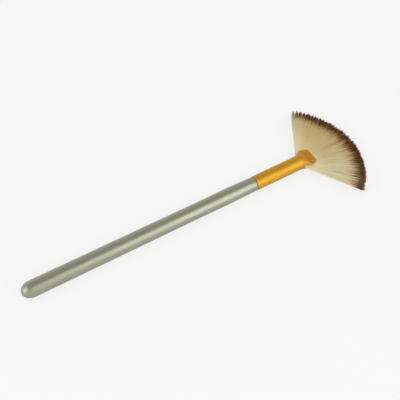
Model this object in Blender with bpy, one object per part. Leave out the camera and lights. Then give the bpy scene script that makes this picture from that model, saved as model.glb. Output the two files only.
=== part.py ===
"""Fan makeup brush: a turned handle, a drawn ferrule with a pressed mouth, and a flat fan of bristles.

The brush lies on its side along X, with the butt of the handle at -X and the bristle tips at +X. The fan
spreads in the horizontal plane through the brush's axis. Every piece is built with X measured from the
butt and Y and Z measured from the axis, and one empty then lays the brush on the ground, with the origin
at the middle of its length.
"""

import math
import random
from dataclasses import dataclass

import bmesh
import bpy
from mathutils import Matrix, Vector

MM = 0.001

# Handle: turned wood, nearly straight, with a faint belly behind its neck
HANDLE_LENGTH = 122.1 * MM
BUTT_RADIUS = 3.95 * MM
BUTT_DOME_LENGTH = 5.0 * MM
WAIST_RADIUS = 3.71 * MM
WAIST_TO_SEAM = 28.0 * MM
BELLY_RADIUS = 3.78 * MM
BELLY_TO_SEAM = 18.0 * MM
NECK_RADIUS = 3.48 * MM
NECK_CURVE = 2.4
SHOULDER_CHAMFER = 0.12 * MM
TENON_CHAMFER = 0.5 * MM

# Ferrule: one drawn tube, slit on both sides of its mouth and pressed to a flat duckbill
FERRULE_LENGTH = 34.0 * MM
FERRULE_RADIUS = 3.65 * MM
FERRULE_WALL = 0.35 * MM
RAMP_LENGTH = 5.9 * MM
RAMP_END_HALF_HEIGHT = 1.5 * MM
CREASE_LENGTH = 0.3 * MM
LAND_LENGTH = 2.7 * MM
LAND_HALF_HEIGHT = 1.25 * MM
JAW_HALF_WIDTH = 5.2 * MM
JAW_EDGE_RADIUS = 1.0 * MM
LIP_HALF_WIDTH = 3.75 * MM

# Bristles: a fan that spreads from one centre inside the ferrule
HAIR_OUT = 24.5 * MM
FAN_CENTRE_TO_LIP = 9.5 * MM
FAN_HALF_ANGLE = math.radians(59.7)
CORNER_EXTRA_REACH = 2.0 * MM
TIP_HALF_THICKNESS = 0.8 * MM
RIM_THINNING = 0.5
STRAND_COLUMNS = 91
STRAND_ROWS = 5
STRAND_FILL = 0.84
LAYER_FILL = 0.7
STRAND_TIP_FILL = 0.3
ROW_SHIFTS = (-0.3, 0.15, 0.0, -0.15, 0.3)
STRAND_JITTER = 0.05
BROWN_FROM = 0.81
BROWN_SPREAD = 0.05
RAGGED_TIPS = 0.025
RAGGED_CLUMPS = 0.025
CLUMP_COLUMNS = 4

# Root of the bristles, its thread tie, and the adhesive on both sides of it
ROOT_DEPTH = 18.0 * MM
THROAT_BULGE = 1.0 * MM
THROAT_LEAD = 0.6 * MM
THROAT_LENGTH = 2.4 * MM
TIE_WIDTH = 1.6 * MM
TIE_DEPTH = 0.35 * MM
TIE_TURNS = 4
TIE_OFFSET = 1.1 * MM
ROOT_GLUE_WALL = 0.3 * MM
ROOT_GLUE_REACH = 4.0 * MM
ROOT_GLUE_END = 1.5 * MM
TENON_GLUE_WALL = 0.16 * MM
TENON_GLUE_INSET = 1.5 * MM

# Clearances between neighbouring pieces
SEAM_GAP = 0.15 * MM
TENON_END_GAP = 0.6 * MM
GLUE_GAP = 0.05 * MM
ROOT_GAP = 0.05 * MM
TIE_GAP = 0.1 * MM
HAIR_TO_JAW_GAP = 0.25 * MM
SLOT_TO_BORE = 0.05 * MM
SLOT_END_GAP = 1.0 * MM

# Facets round each turned piece; a flat lies at the top, the bottom and both sides
SIDES = 48
HALF_STEP = math.pi / SIDES
ROOT_FACETS = SIDES // 2
ROOT_ROWS = 4

# Places that follow from the sizes, measured from the butt
SEAM_X = HANDLE_LENGTH
FERRULE_X = SEAM_X + SEAM_GAP
LIP_X = FERRULE_X + FERRULE_LENGTH
LAND_X = LIP_X - LAND_LENGTH
RAMP_END_X = LAND_X - CREASE_LENGTH
RAMP_X = RAMP_END_X - RAMP_LENGTH
TOTAL_LENGTH = LIP_X + HAIR_OUT
AXIS_HEIGHT = max(BUTT_RADIUS, FERRULE_RADIUS)

# Sizes that fit one piece to another
BORE_RADIUS = FERRULE_RADIUS - FERRULE_WALL
TENON_RADIUS = BORE_RADIUS - TENON_GLUE_WALL - 2 * GLUE_GAP
ROOT_RADIUS = BORE_RADIUS - ROOT_GLUE_WALL - 2 * GLUE_GAP
SLOT_HALF_HEIGHT = LAND_HALF_HEIGHT - FERRULE_WALL - SLOT_TO_BORE
HAIR_HALF_THICKNESS = SLOT_HALF_HEIGHT - HAIR_TO_JAW_GAP
FAN_CENTRE_X = LIP_X - FAN_CENTRE_TO_LIP
ROOT_ARC_RADIUS = JAW_HALF_WIDTH / math.sin(FAN_HALF_ANGLE)
ROOT_ARC_END_X = FAN_CENTRE_X + ROOT_ARC_RADIUS * math.cos(FAN_HALF_ANGLE)
SLOT_X = ROOT_ARC_END_X - SLOT_END_GAP
THROAT_X = ROOT_ARC_END_X - THROAT_LEAD
THROAT_BACK_X = THROAT_X - THROAT_LENGTH
ROOT_END_X = LIP_X - ROOT_DEPTH
ROOT_GLUE_X = ROOT_END_X - GLUE_GAP - ROOT_GLUE_END
TENON_END_X = ROOT_GLUE_X - TENON_END_GAP
TIE_FRONT_X = THROAT_BACK_X - TIE_OFFSET
TIE_BACK_X = TIE_FRONT_X - TIE_WIDTH
WAIST_X = SEAM_X - WAIST_TO_SEAM
BELLY_X = SEAM_X - BELLY_TO_SEAM


def clear_scene():
    """Removes every object that the file holds."""
    for obj in list(bpy.data.objects):
        bpy.data.objects.remove(obj, do_unlink=True)


def linear(channel):
    """One sRGB channel from 0 to 255 as the linear value that a shader takes."""
    value = channel / 255
    return value / 12.92 if value <= 0.04045 else ((value + 0.055) / 1.055) ** 2.4


def material(name, rgb, roughness, metallic=0.0, coat=0.0):
    """A Principled material with an sRGB colour."""
    mat = bpy.data.materials.new(name)
    mat.use_nodes = True
    shader = mat.node_tree.nodes["Principled BSDF"]
    shader.inputs["Base Color"].default_value = (*(linear(c) for c in rgb), 1.0)
    shader.inputs["Roughness"].default_value = roughness
    shader.inputs["Metallic"].default_value = metallic
    shader.inputs["Coat Weight"].default_value = coat
    return mat


def finish(name, bm, axis, *materials, sharp_angle=math.radians(35)):
    """Turns a bmesh into a smooth-shaded object that hangs on the brush's axis."""
    bmesh.ops.recalc_face_normals(bm, faces=bm.faces)
    mesh = bpy.data.meshes.new(name)
    bm.to_mesh(mesh)
    bm.free()
    for mat in materials:
        mesh.materials.append(mat)
    mesh.shade_smooth()
    mesh.set_sharp_from_angle(angle=sharp_angle)
    obj = bpy.data.objects.new(name, mesh)
    bpy.context.scene.collection.objects.link(obj)
    obj.parent = axis
    return obj


def spin_profile(profile):
    """Turns a closed or pole-to-pole outline of (x, radius) points about the axis.

    Flats face up and down, and radii are measured across the flats.
    """
    bm = bmesh.new()
    turn = Matrix.Rotation(HALF_STEP, 3, "X")
    points = [turn @ Vector((x, 0.0, r / math.cos(HALF_STEP))) for x, r in profile]
    verts = [bm.verts.new(p) for p in points]
    edges = [bm.edges.new(pair) for pair in zip(verts, verts[1:])]
    if profile[0][1] > 0:
        edges.append(bm.edges.new((verts[-1], verts[0])))
    bmesh.ops.spin(
        bm,
        geom=[*verts, *edges],
        cent=(0.0, 0.0, 0.0),
        axis=(1.0, 0.0, 0.0),
        steps=SIDES,
        angle=math.tau,
        use_merge=True,
    )
    bmesh.ops.remove_doubles(bm, verts=bm.verts, dist=0.001 * MM)
    return bm


def skin(bm, rings, closed=False):
    """Joins each ring of vertices to the next with quads, and the last to the first if closed."""
    pairs = list(zip(rings, rings[1:]))
    if closed:
        pairs.append((rings[-1], rings[0]))
    for near, far in pairs:
        for k in range(len(near)):
            n = (k + 1) % len(near)
            bm.faces.new((near[k], near[n], far[n], far[k]))


def dome(length, radius, steps):
    """The outline of an elliptical dome from its pole to its full radius, as (x, radius)."""
    angles = [0.5 * math.pi * k / steps for k in range(steps + 1)]
    return [(length * (1 - math.cos(a)), radius * math.sin(a)) for a in angles]


def handle_radius(x):
    """The handle's radius at x, between the end of its dome and the seam."""
    if x <= WAIST_X:
        share = (x - BUTT_DOME_LENGTH) / (WAIST_X - BUTT_DOME_LENGTH)
        return BUTT_RADIUS + (WAIST_RADIUS - BUTT_RADIUS) * share
    if x <= BELLY_X:
        share = (x - WAIST_X) / (BELLY_X - WAIST_X)
        return WAIST_RADIUS + (BELLY_RADIUS - WAIST_RADIUS) * (0.5 - 0.5 * math.cos(math.pi * share))
    share = (x - BELLY_X) / (SEAM_X - BELLY_X)
    return BELLY_RADIUS + (NECK_RADIUS - BELLY_RADIUS) * share**NECK_CURVE


def stations(start, end, count):
    """Evenly spaced places after start, up to and including end."""
    return [start + (end - start) * (k + 1) / count for k in range(count)]


def make_handle(axis, lacquer, bare_wood):
    """The turned handle: domed butt, slim body, faint belly, neck, and the tenon that the ferrule hides."""
    profile = dome(BUTT_DOME_LENGTH, BUTT_RADIUS, 9)
    body = [
        *stations(BUTT_DOME_LENGTH, WAIST_X, 3),
        *stations(WAIST_X, BELLY_X, 4),
        *stations(BELLY_X, SEAM_X - SHOULDER_CHAMFER, 6),
    ]
    profile += [(x, handle_radius(x)) for x in body]
    profile += [
        (SEAM_X, NECK_RADIUS - SHOULDER_CHAMFER),
        (SEAM_X, TENON_RADIUS),
        (TENON_END_X - TENON_CHAMFER, TENON_RADIUS),
        (TENON_END_X, TENON_RADIUS - TENON_CHAMFER),
        (TENON_END_X, 0.0),
    ]
    bm = spin_profile(profile)
    for face in bm.faces:
        face.material_index = int(face.calc_center_median().x > SEAM_X - 0.5 * SHOULDER_CHAMFER)
    return finish("handle", bm, axis, lacquer, bare_wood)


def pressed_share(x):
    """How far the tube is pressed from round, 0, to the end of the ramp, 1."""
    share = min(max((x - RAMP_X) / RAMP_LENGTH, 0.0), 1.0)
    return share * share * (3 - 2 * share)


def ferrule_section(x, inset):
    """Half width, half height and corner radius of the ferrule at x, moved in by inset."""
    pressed = pressed_share(x)
    half_width = FERRULE_RADIUS + (JAW_HALF_WIDTH - FERRULE_RADIUS) * pressed
    half_height = FERRULE_RADIUS + (RAMP_END_HALF_HEIGHT - FERRULE_RADIUS) * pressed
    corner = FERRULE_RADIUS + (JAW_EDGE_RADIUS - FERRULE_RADIUS) * pressed
    if x >= LAND_X:
        half_height = LAND_HALF_HEIGHT
    return half_width - inset, half_height - inset, corner - inset


def section_ring(bm, x, half_width, half_height, corner):
    """A rounded rectangle of vertices across the axis, with a flat on each of its four sides."""
    ring = []
    for k in range(SIDES):
        angle = (2 * k + 1) * HALF_STEP
        cos, sin = math.cos(angle), math.sin(angle)
        y = math.copysign(half_width - corner, cos) + corner * cos / math.cos(HALF_STEP)
        z = math.copysign(half_height - corner, sin) + corner * sin / math.cos(HALF_STEP)
        ring.append(bm.verts.new((x, y, z)))
    return ring


def cutter(name, bm, axis):
    """A body that only cuts: it is drawn as wires and never rendered."""
    obj = finish(name, bm, axis)
    obj.hide_render = True
    obj.display_type = "WIRE"
    return obj


def prism(bm, outline, along):
    """A closed body from a flat outline, drawn out by the vector along."""
    face = bm.faces.new([bm.verts.new(p) for p in outline])
    moved = bmesh.ops.extrude_face_region(bm, geom=[face])["geom"]
    bmesh.ops.translate(bm, vec=along, verts=[v for v in moved if isinstance(v, bmesh.types.BMVert)])


def make_slot_cutter(axis):
    """The saw cut that opens both sides of the mouth, with a round end."""
    reach = JAW_HALF_WIDTH + FERRULE_RADIUS
    centre_x = SLOT_X + SLOT_HALF_HEIGHT
    front_x = LIP_X + FERRULE_RADIUS
    steps = 12
    outline = [(front_x, -reach, -SLOT_HALF_HEIGHT), (front_x, -reach, SLOT_HALF_HEIGHT)]
    for k in range(steps + 1):
        angle = math.pi * (0.5 + k / steps)
        x = centre_x + SLOT_HALF_HEIGHT * math.cos(angle)
        outline.append((x, -reach, SLOT_HALF_HEIGHT * math.sin(angle)))
    bm = bmesh.new()
    prism(bm, outline, Vector((0.0, 2 * reach, 0.0)))
    return cutter("slot_cutter", bm, axis)


def make_corner_cutter(axis):
    """What is trimmed from the lip's two corners, so that each jaw ends in an arc and a straight lip.

    The arc starts at the crease, where the jaw is widest, and ends at the lip's corner.
    """
    depth = LIP_X - RAMP_END_X
    drop = JAW_HALF_WIDTH - LIP_HALF_WIDTH
    radius = (depth * depth + drop * drop) / (2 * drop)
    centre_y = JAW_HALF_WIDTH - radius
    reach = JAW_HALF_WIDTH + FERRULE_RADIUS
    end_angle = math.asin(depth / radius)
    steps = 8
    bm = bmesh.new()
    for side in (-1, 1):
        outline = []
        for k in range(steps + 3):
            angle = end_angle * k / steps
            x = RAMP_END_X + radius * math.sin(angle)
            outline.append((x, side * (centre_y + radius * math.cos(angle)), -FERRULE_RADIUS))
        outline.append((outline[-1][0], side * reach, -FERRULE_RADIUS))
        outline.append((RAMP_END_X, side * reach, -FERRULE_RADIUS))
        prism(bm, outline, Vector((0.0, 0.0, 2 * FERRULE_RADIUS)))
    return cutter("corner_cutter", bm, axis)


def make_ferrule(axis, anodised):
    """The drawn tube with its ramp, crease and flat land, then slit and trimmed at the mouth."""
    places = [
        FERRULE_X,
        RAMP_X,
        *stations(RAMP_X, RAMP_END_X, 9),
        LAND_X,
        LIP_X,
    ]
    bm = bmesh.new()
    outer = [section_ring(bm, x, *ferrule_section(x, 0.0)) for x in places]
    inner = [section_ring(bm, x, *ferrule_section(x, FERRULE_WALL)) for x in reversed(places)]
    skin(bm, outer + inner, closed=True)
    ferrule = finish("ferrule", bm, axis, anodised, sharp_angle=math.radians(25))
    for tool in (make_slot_cutter(axis), make_corner_cutter(axis)):
        cut = ferrule.modifiers.new(tool.name, "BOOLEAN")
        cut.operation = "DIFFERENCE"
        cut.solver = "EXACT"
        cut.object = tool
    return ferrule


def fan_reach(angle):
    """The distance from the fan's centre to the outline of the tips, at an angle from the axis."""
    return FAN_CENTRE_TO_LIP + HAIR_OUT + CORNER_EXTRA_REACH * (angle / FAN_HALF_ANGLE) ** 2


def fullness(across):
    """The fan's share of its full thickness at a place across it, from -1 at one rim to 1 at the other."""
    return 1 - RIM_THINNING * across * across


def level_point(angle, radius, level):
    """A point of the fan at an angle, a radius and a level: -1 is its lower face and 1 its upper."""
    spread = (radius - ROOT_ARC_RADIUS) / (FAN_CENTRE_TO_LIP + HAIR_OUT - ROOT_ARC_RADIUS)
    half_thickness = HAIR_HALF_THICKNESS + (TIP_HALF_THICKNESS - HAIR_HALF_THICKNESS) * spread
    z = level * half_thickness * fullness(angle / FAN_HALF_ANGLE)
    return Vector((FAN_CENTRE_X + radius * math.cos(angle), radius * math.sin(angle), z))


def root_grid(bm):
    """The vertices that the strands stand on, as columns of rows on an arc about the fan's centre."""
    columns = []
    for i in range(STRAND_COLUMNS + 1):
        angle = FAN_HALF_ANGLE * (2 * i / STRAND_COLUMNS - 1)
        levels = [2 * j / STRAND_ROWS - 1 for j in range(STRAND_ROWS + 1)]
        columns.append([bm.verts.new(level_point(angle, ROOT_ARC_RADIUS, level)) for level in levels])
    return columns


@dataclass
class Strand:
    """One bristle: its direction and level in the fan, where its brown starts, and where it ends."""

    angle: float
    half_angle: float
    level: float
    half_level: float
    brown_radius: float
    tip_radius: float

    def add(self, bm, corners):
        """Grows the strand from four corners on the root: cream to a collar, then brown to a thin edge."""
        collar = []
        for across, up in ((-1, -1), (1, -1), (1, 1), (-1, 1)):
            angle = self.angle + across * self.half_angle
            level = self.level + up * self.half_level
            collar.append(bm.verts.new(level_point(angle, self.brown_radius, level)))
        tip_half_angle = self.half_angle * STRAND_TIP_FILL / STRAND_FILL
        left, right = (
            bm.verts.new(level_point(self.angle + side * tip_half_angle, self.tip_radius, self.level))
            for side in (-1, 1)
        )
        for k in range(4):
            n = (k + 1) % 4
            bm.faces.new((corners[k], corners[n], collar[n], collar[k]))
        tip_faces = (
            (collar[0], collar[1], right, left),
            (collar[1], collar[2], right),
            (collar[2], collar[3], left, right),
            (collar[3], collar[0], left),
        )
        for face in tip_faces:
            bm.faces.new(face).material_index = 1


def add_strands(bm, grid):
    """All strands: each keeps to its own sector and layer, so none crosses another."""
    shuffle = random.Random(7)
    pitch = 2 * FAN_HALF_ANGLE / STRAND_COLUMNS
    clumps = [shuffle.random() for _ in range(STRAND_COLUMNS // CLUMP_COLUMNS + 1)]
    for i in range(STRAND_COLUMNS):
        longest = i in (0, STRAND_COLUMNS // 2, STRAND_COLUMNS - 1)
        for j in range(STRAND_ROWS):
            jitter = 0.0 if longest else STRAND_JITTER * (2 * shuffle.random() - 1)
            angle = (i + 0.5 - 0.5 * STRAND_COLUMNS + ROW_SHIFTS[j % len(ROW_SHIFTS)] + jitter) * pitch
            ragged = RAGGED_TIPS * shuffle.random() + RAGGED_CLUMPS * clumps[i // CLUMP_COLUMNS]
            reach = fan_reach(angle)
            strand = Strand(
                angle=angle,
                half_angle=0.5 * STRAND_FILL * pitch,
                level=(2 * j + 1) / STRAND_ROWS - 1,
                half_level=LAYER_FILL / STRAND_ROWS,
                brown_radius=reach * (BROWN_FROM + BROWN_SPREAD * (2 * shuffle.random() - 1)),
                tip_radius=reach if longest else reach * (1 - ragged),
            )
            strand.add(bm, (grid[i][j], grid[i + 1][j], grid[i + 1][j + 1], grid[i][j + 1]))


def rim_steps(columns, rows):
    """The steps round the rim of a grid of cells, in order, each as its column and row."""
    steps = [(i, 0) for i in range(columns)]
    steps += [(columns, j) for j in range(rows)]
    steps += [(i, rows) for i in range(columns, 0, -1)]
    steps += [(0, j) for j in range(rows, 0, -1)]
    return steps


def rim_places(columns, rows):
    """The same steps as places across and up, each from -1 to 1."""
    return [(2 * i / columns - 1, 2 * j / rows - 1) for i, j in rim_steps(columns, rows)]


def throat_ring(bm, places, x):
    """The lens-shaped section where the bristles turn outward, as wide as the round root."""
    ring = []
    for across, up in places:
        half_height = HAIR_HALF_THICKNESS * fullness(across) + THROAT_BULGE * (1 - across * across)
        ring.append(bm.verts.new((x, ROOT_RADIUS * across, half_height * up)))
    return ring


def round_ring(bm, places, x, radius):
    """A round section, the places of the rim mapped from a square onto a circle."""
    ring = []
    for across, up in places:
        y = across * math.sqrt(1 - 0.5 * up * up)
        z = up * math.sqrt(1 - 0.5 * across * across)
        ring.append(bm.verts.new((x, radius * y, radius * z)))
    return ring


def make_bristle_fan(axis, cream, brown):
    """The fan of strands on a slice of the bound root, from the arc that they leave back to the throat."""
    bm = bmesh.new()
    grid = root_grid(bm)
    add_strands(bm, grid)
    front = [grid[i][j] for i, j in rim_steps(STRAND_COLUMNS, STRAND_ROWS)]
    back = throat_ring(bm, rim_places(STRAND_COLUMNS, STRAND_ROWS), THROAT_X)
    skin(bm, [front, back])
    bm.faces.new(back)
    return finish("bristle_fan", bm, axis, cream, brown)


def make_bristle_root(axis, cream):
    """The bound root of the bristles: from the throat's lens to a round tuft with a groove for its tie."""
    places = rim_places(ROOT_FACETS - ROOT_ROWS, ROOT_ROWS)
    groove = ROOT_RADIUS - TIE_DEPTH
    bm = bmesh.new()
    rings = [
        throat_ring(bm, places, THROAT_X - ROOT_GAP),
        round_ring(bm, places, THROAT_BACK_X, ROOT_RADIUS),
        round_ring(bm, places, TIE_FRONT_X + TIE_GAP + TIE_DEPTH, ROOT_RADIUS),
        round_ring(bm, places, TIE_FRONT_X + TIE_GAP, groove),
        round_ring(bm, places, TIE_BACK_X - TIE_GAP, groove),
        round_ring(bm, places, TIE_BACK_X - TIE_GAP - TIE_DEPTH, ROOT_RADIUS),
        round_ring(bm, places, ROOT_END_X, ROOT_RADIUS),
    ]
    skin(bm, rings)
    bm.faces.new(rings[0])
    bm.faces.new(rings[-1])
    return finish("bristle_root", bm, axis, cream)


def make_tuft_tie(axis, thread):
    """The thread wound tightly round the tuft, as one band with a rounded ridge for each turn."""
    inner = ROOT_RADIUS - TIE_DEPTH + TIE_GAP
    thread_radius = 0.5 * TIE_WIDTH / TIE_TURNS
    steps = 3
    profile = [(TIE_BACK_X, inner)]
    for turn in range(TIE_TURNS):
        centre = TIE_BACK_X + (2 * turn + 1) * thread_radius
        for k in range(steps + 1 if turn == TIE_TURNS - 1 else steps):
            angle = math.pi * (1 - k / steps)
            profile.append(
                (centre + thread_radius * math.cos(angle), inner + thread_radius * (1 + math.sin(angle)))
            )
    profile.append((TIE_FRONT_X, inner))
    return finish("tuft_tie", spin_profile(profile), axis, thread)


def make_root_glue(axis, epoxy):
    """The cup of epoxy that the root of the tuft is set in."""
    outer = BORE_RADIUS - GLUE_GAP
    pocket = ROOT_RADIUS + GLUE_GAP
    front = ROOT_END_X + ROOT_GLUE_REACH
    profile = [
        (ROOT_GLUE_X, 0.0),
        (ROOT_GLUE_X, outer),
        (front, outer),
        (front, pocket),
        (ROOT_END_X - GLUE_GAP, pocket),
        (ROOT_END_X - GLUE_GAP, 0.0),
    ]
    return finish("root_glue", spin_profile(profile), axis, epoxy)


def make_tenon_glue(axis, epoxy):
    """The sleeve of adhesive between the tenon and the ferrule."""
    inner = TENON_RADIUS + GLUE_GAP
    outer = BORE_RADIUS - GLUE_GAP
    start = FERRULE_X + TENON_GLUE_INSET
    end = TENON_END_X - TENON_GLUE_INSET
    profile = [(start, inner), (start, outer), (end, outer), (end, inner)]
    return finish("tenon_glue", spin_profile(profile), axis, epoxy)


def make_axis():
    """The empty that carries the brush: it lays it on the ground with the origin at mid length."""
    axis = bpy.data.objects.new("brush_axis", None)
    axis.location = (-0.5 * TOTAL_LENGTH, 0.0, AXIS_HEIGHT)
    bpy.context.scene.collection.objects.link(axis)
    return axis


def main():
    """Builds the brush."""
    clear_scene()
    lacquer = material("pearl_lacquer", (166, 168, 149), 0.32, metallic=0.35, coat=0.6)
    bare_wood = material("bare_wood", (205, 172, 124), 0.7)
    anodised = material("gold_anodised", (214, 158, 52), 0.34, metallic=1.0)
    cream = material("cream_bristle", (200, 184, 140), 0.55)
    brown = material("brown_tip", (82, 56, 36), 0.6)
    epoxy = material("epoxy", (214, 200, 160), 0.25)
    thread = material("thread", (232, 226, 210), 0.8)

    axis = make_axis()
    make_handle(axis, lacquer, bare_wood)
    make_ferrule(axis, anodised)
    make_tenon_glue(axis, epoxy)
    make_root_glue(axis, epoxy)
    make_tuft_tie(axis, thread)
    make_bristle_root(axis, cream)
    make_bristle_fan(axis, cream, brown)


if __name__ == "__main__":
    main()
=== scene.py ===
"""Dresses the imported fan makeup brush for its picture.

The brush lies along X, with the butt of its handle at -X and the tips of its bristles at +X, and its fan
spreads in the horizontal plane through its axis. All lengths are in metres. Each piece is shaped about its
own axis, with the places along it measured from its back end, or from the ferrule's lips for the tuft, and
BrushAxis then sets it in the frame.
"""

import logging
import math
from collections.abc import Iterable
from dataclasses import dataclass, field
from enum import Enum

import bmesh
import bpy
import numpy as np
from mathutils import Matrix, Vector


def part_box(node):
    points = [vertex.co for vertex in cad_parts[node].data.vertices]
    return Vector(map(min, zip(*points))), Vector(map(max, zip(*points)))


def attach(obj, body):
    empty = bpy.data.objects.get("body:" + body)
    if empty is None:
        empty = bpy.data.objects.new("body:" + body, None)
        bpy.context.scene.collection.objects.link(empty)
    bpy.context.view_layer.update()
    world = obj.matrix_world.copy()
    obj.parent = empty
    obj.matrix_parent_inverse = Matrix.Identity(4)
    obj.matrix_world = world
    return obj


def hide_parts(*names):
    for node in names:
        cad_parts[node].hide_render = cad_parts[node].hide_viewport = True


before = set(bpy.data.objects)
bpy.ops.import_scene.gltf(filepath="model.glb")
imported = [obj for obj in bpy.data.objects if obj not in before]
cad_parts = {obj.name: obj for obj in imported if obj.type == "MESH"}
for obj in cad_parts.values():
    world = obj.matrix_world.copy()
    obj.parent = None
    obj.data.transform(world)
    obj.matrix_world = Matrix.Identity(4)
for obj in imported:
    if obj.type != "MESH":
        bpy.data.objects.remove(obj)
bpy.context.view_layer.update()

MM = 0.001
TINY = 0.0005 * MM  # what lies closer than this is at the same place
SMOOTH = 180.0  # an angle in degrees that no edge passes, where none is to stay sharp
BODY = "root"
BAKE_MAP = "OFBake"  # the name of the strands' UV map, which their colours are laid out on
LOG = logging.getLogger("fan_brush")

Rgb = tuple[float, float, float]
Range = tuple[float, float]
Profile = list[tuple[float, float]]
Socket = bpy.types.NodeSocket

NOISE_SPREAD: Range = (0.3, 0.7)  # nearly all values of a noise texture lie between these


def linear(rgb: Rgb) -> tuple[float, float, float, float]:
    """An sRGB colour, each channel from 0 to 255, as the linear colour that a shader takes.

    Args:
        rgb: The colour as it is seen.

    Returns:
        The linear red, green and blue, and an alpha of 1.
    """
    parts = [c / 255 for c in rgb]
    return (*(c / 12.92 if c <= 0.04045 else ((c + 0.055) / 1.055) ** 2.4 for c in parts), 1.0)


def ease(share: float | np.ndarray) -> float | np.ndarray:
    """A share from 0 to 1, clamped and eased at both ends."""
    share = np.clip(share, 0, 1)
    return share * share * (3 - 2 * share)


def between(
    first: float | np.ndarray, second: float | np.ndarray, share: float | np.ndarray
) -> float | np.ndarray:
    """What lies a share of the way from a first value to a second."""
    return first + (second - first) * share


def direction(azimuth: float, elevation: float) -> Vector:
    """The unit vector towards a place round the brush.

    Args:
        azimuth: The place's turn from +X towards +Y, in degrees.
        elevation: Its height over the horizon, in degrees.

    Returns:
        The vector.
    """
    flat = math.cos(math.radians(elevation))
    turn = math.radians(azimuth)
    return Vector((flat * math.cos(turn), flat * math.sin(turn), math.sin(math.radians(elevation))))


class Slot(Enum):
    """The record's material slots."""

    LACQUER = "pearl_lacquer"
    GOLD = "gold_anodised"
    BRISTLE = "cream_bristle"
    THREAD = "tie_thread"
    EPOXY = "epoxy"


class Nodes:
    """The nodes of one material or of the world."""

    def __init__(self, tree: bpy.types.NodeTree) -> None:
        """Keeps the tree that the nodes are added to."""
        self.tree = tree

    def put(self, kind: str, sockets: dict, output: int | str = 0, **settings: object) -> Socket:
        """Adds a node.

        Args:
            kind: The node's type, without its ShaderNode prefix.
            sockets: What goes into each input, by name or index: a socket to link or a value to set.
            output: The name or index of the output to return.
            **settings: The node's own properties.

        Returns:
            The chosen output.
        """
        node = self.tree.nodes.new("ShaderNode" + kind)
        for key, value in settings.items():
            setattr(node, key, value)
        for key, value in sockets.items():
            if isinstance(value, Socket):
                self.tree.links.new(value, node.inputs[key])
            else:
                node.inputs[key].default_value = value
        return node.outputs[output]

    def span(self, value: Socket, start: float, end: float, low: float = 0.0, high: float = 1.0) -> Socket:
        """A value's step from low to high as it goes from start to end, clamped and eased."""
        sockets = {"Value": value, "From Min": start, "From Max": end, "To Min": low, "To Max": high}
        return self.put("MapRange", sockets, interpolation_type="SMOOTHSTEP")

    def reckon(self, operation: str, *values: Socket | float, clamp: bool = False) -> Socket:
        """Carries one operation of arithmetic through some values or sockets, from the first to the last.

        Args:
            operation: The operation, as a Math node names it.
            *values: The values or sockets, two or more.
            clamp: Whether each result is kept from 0 to 1.

        Returns:
            The result.
        """
        total = values[0]
        for value in values[1:]:
            total = self.put("Math", {0: total, 1: value}, operation=operation, use_clamp=clamp)
        return total

    def surface(self, shader: Socket, output: str) -> None:
        """Links the finished shader to the tree's output node of this name."""
        self.tree.links.new(shader, self.tree.nodes[output].inputs["Surface"])


class Recipe(Nodes):
    """The nodes of one material, built round its Principled shader."""

    def __init__(self, name: str, **shader: float) -> None:
        """Starts a material.

        Args:
            name: The material's name.
            **shader: Values for the shader's own sockets, with _ for each space of a socket's name.
        """
        self.material = bpy.data.materials.new(name)
        self.material.use_nodes = True
        super().__init__(self.material.node_tree)
        self.shader = self.tree.nodes["Principled BSDF"]
        for key, value in shader.items():
            self.shader.inputs[key.replace("_", " ").title().replace("Ior", "IOR")].default_value = value

    def place(self, stretch: tuple[float, float, float] = (1.0, 1.0, 1.0)) -> Socket:
        """The piece's own coordinates, stretched along each axis."""
        here = self.put("TexCoord", {}, output="Object")
        return self.put("Mapping", {"Vector": here, "Scale": stretch})

    def uv(self) -> Socket:
        """The place on the piece's own UV map."""
        return self.put("UVMap", {}, uv_map=BAKE_MAP)

    def noise(self, place: Socket, scale: float, detail: float = 2.0) -> Socket:
        """Soft noise from 0 to 1, with scale repeats a metre or a map's width."""
        return self.put("TexNoise", {"Vector": place, "Scale": scale, "Detail": detail})

    def cells(self, place: Socket, scale: float) -> Socket:
        """One value from 0 to 1 for each of many small cells."""
        colours = self.put("TexVoronoi", {"Vector": place, "Scale": scale}, output="Color")
        return self.put("SeparateColor", {0: colours})

    def swing(self, noise: Socket, reach: float) -> Socket:
        """Noise about 0, of half of reach to either side."""
        return self.reckon("MULTIPLY", self.reckon("SUBTRACT", noise, 0.5), reach)

    def excess(self, noise: Socket, floor: float, reach: float) -> Socket:
        """What noise has above a floor, times reach."""
        over = self.reckon("MAXIMUM", self.reckon("SUBTRACT", noise, floor), 0.0)
        return self.reckon("MULTIPLY", over, reach)

    def blend(self, share: Socket | float, first: Socket | Rgb, second: Socket | Rgb) -> Socket:
        """A blend of two colours, each a socket or an sRGB colour. A Mix node's own colours are 6 and 7."""
        first, second = (c if isinstance(c, Socket) else linear(c) for c in (first, second))
        return self.put("Mix", {0: share, 6: first, 7: second}, output=2, data_type="RGBA")

    def bump(self, height: Socket, depth: float) -> None:
        """Gives the shader a relief of this depth in metres, from a height of 0 to 1."""
        relief = self.put("Bump", {"Height": height, "Distance": depth, "Strength": 1.0})
        self.into("Normal", relief)

    def into(self, socket: str, value: Socket) -> None:
        """Links a value to one of the shader's sockets."""
        self.tree.links.new(value, self.shader.inputs[socket])


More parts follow.
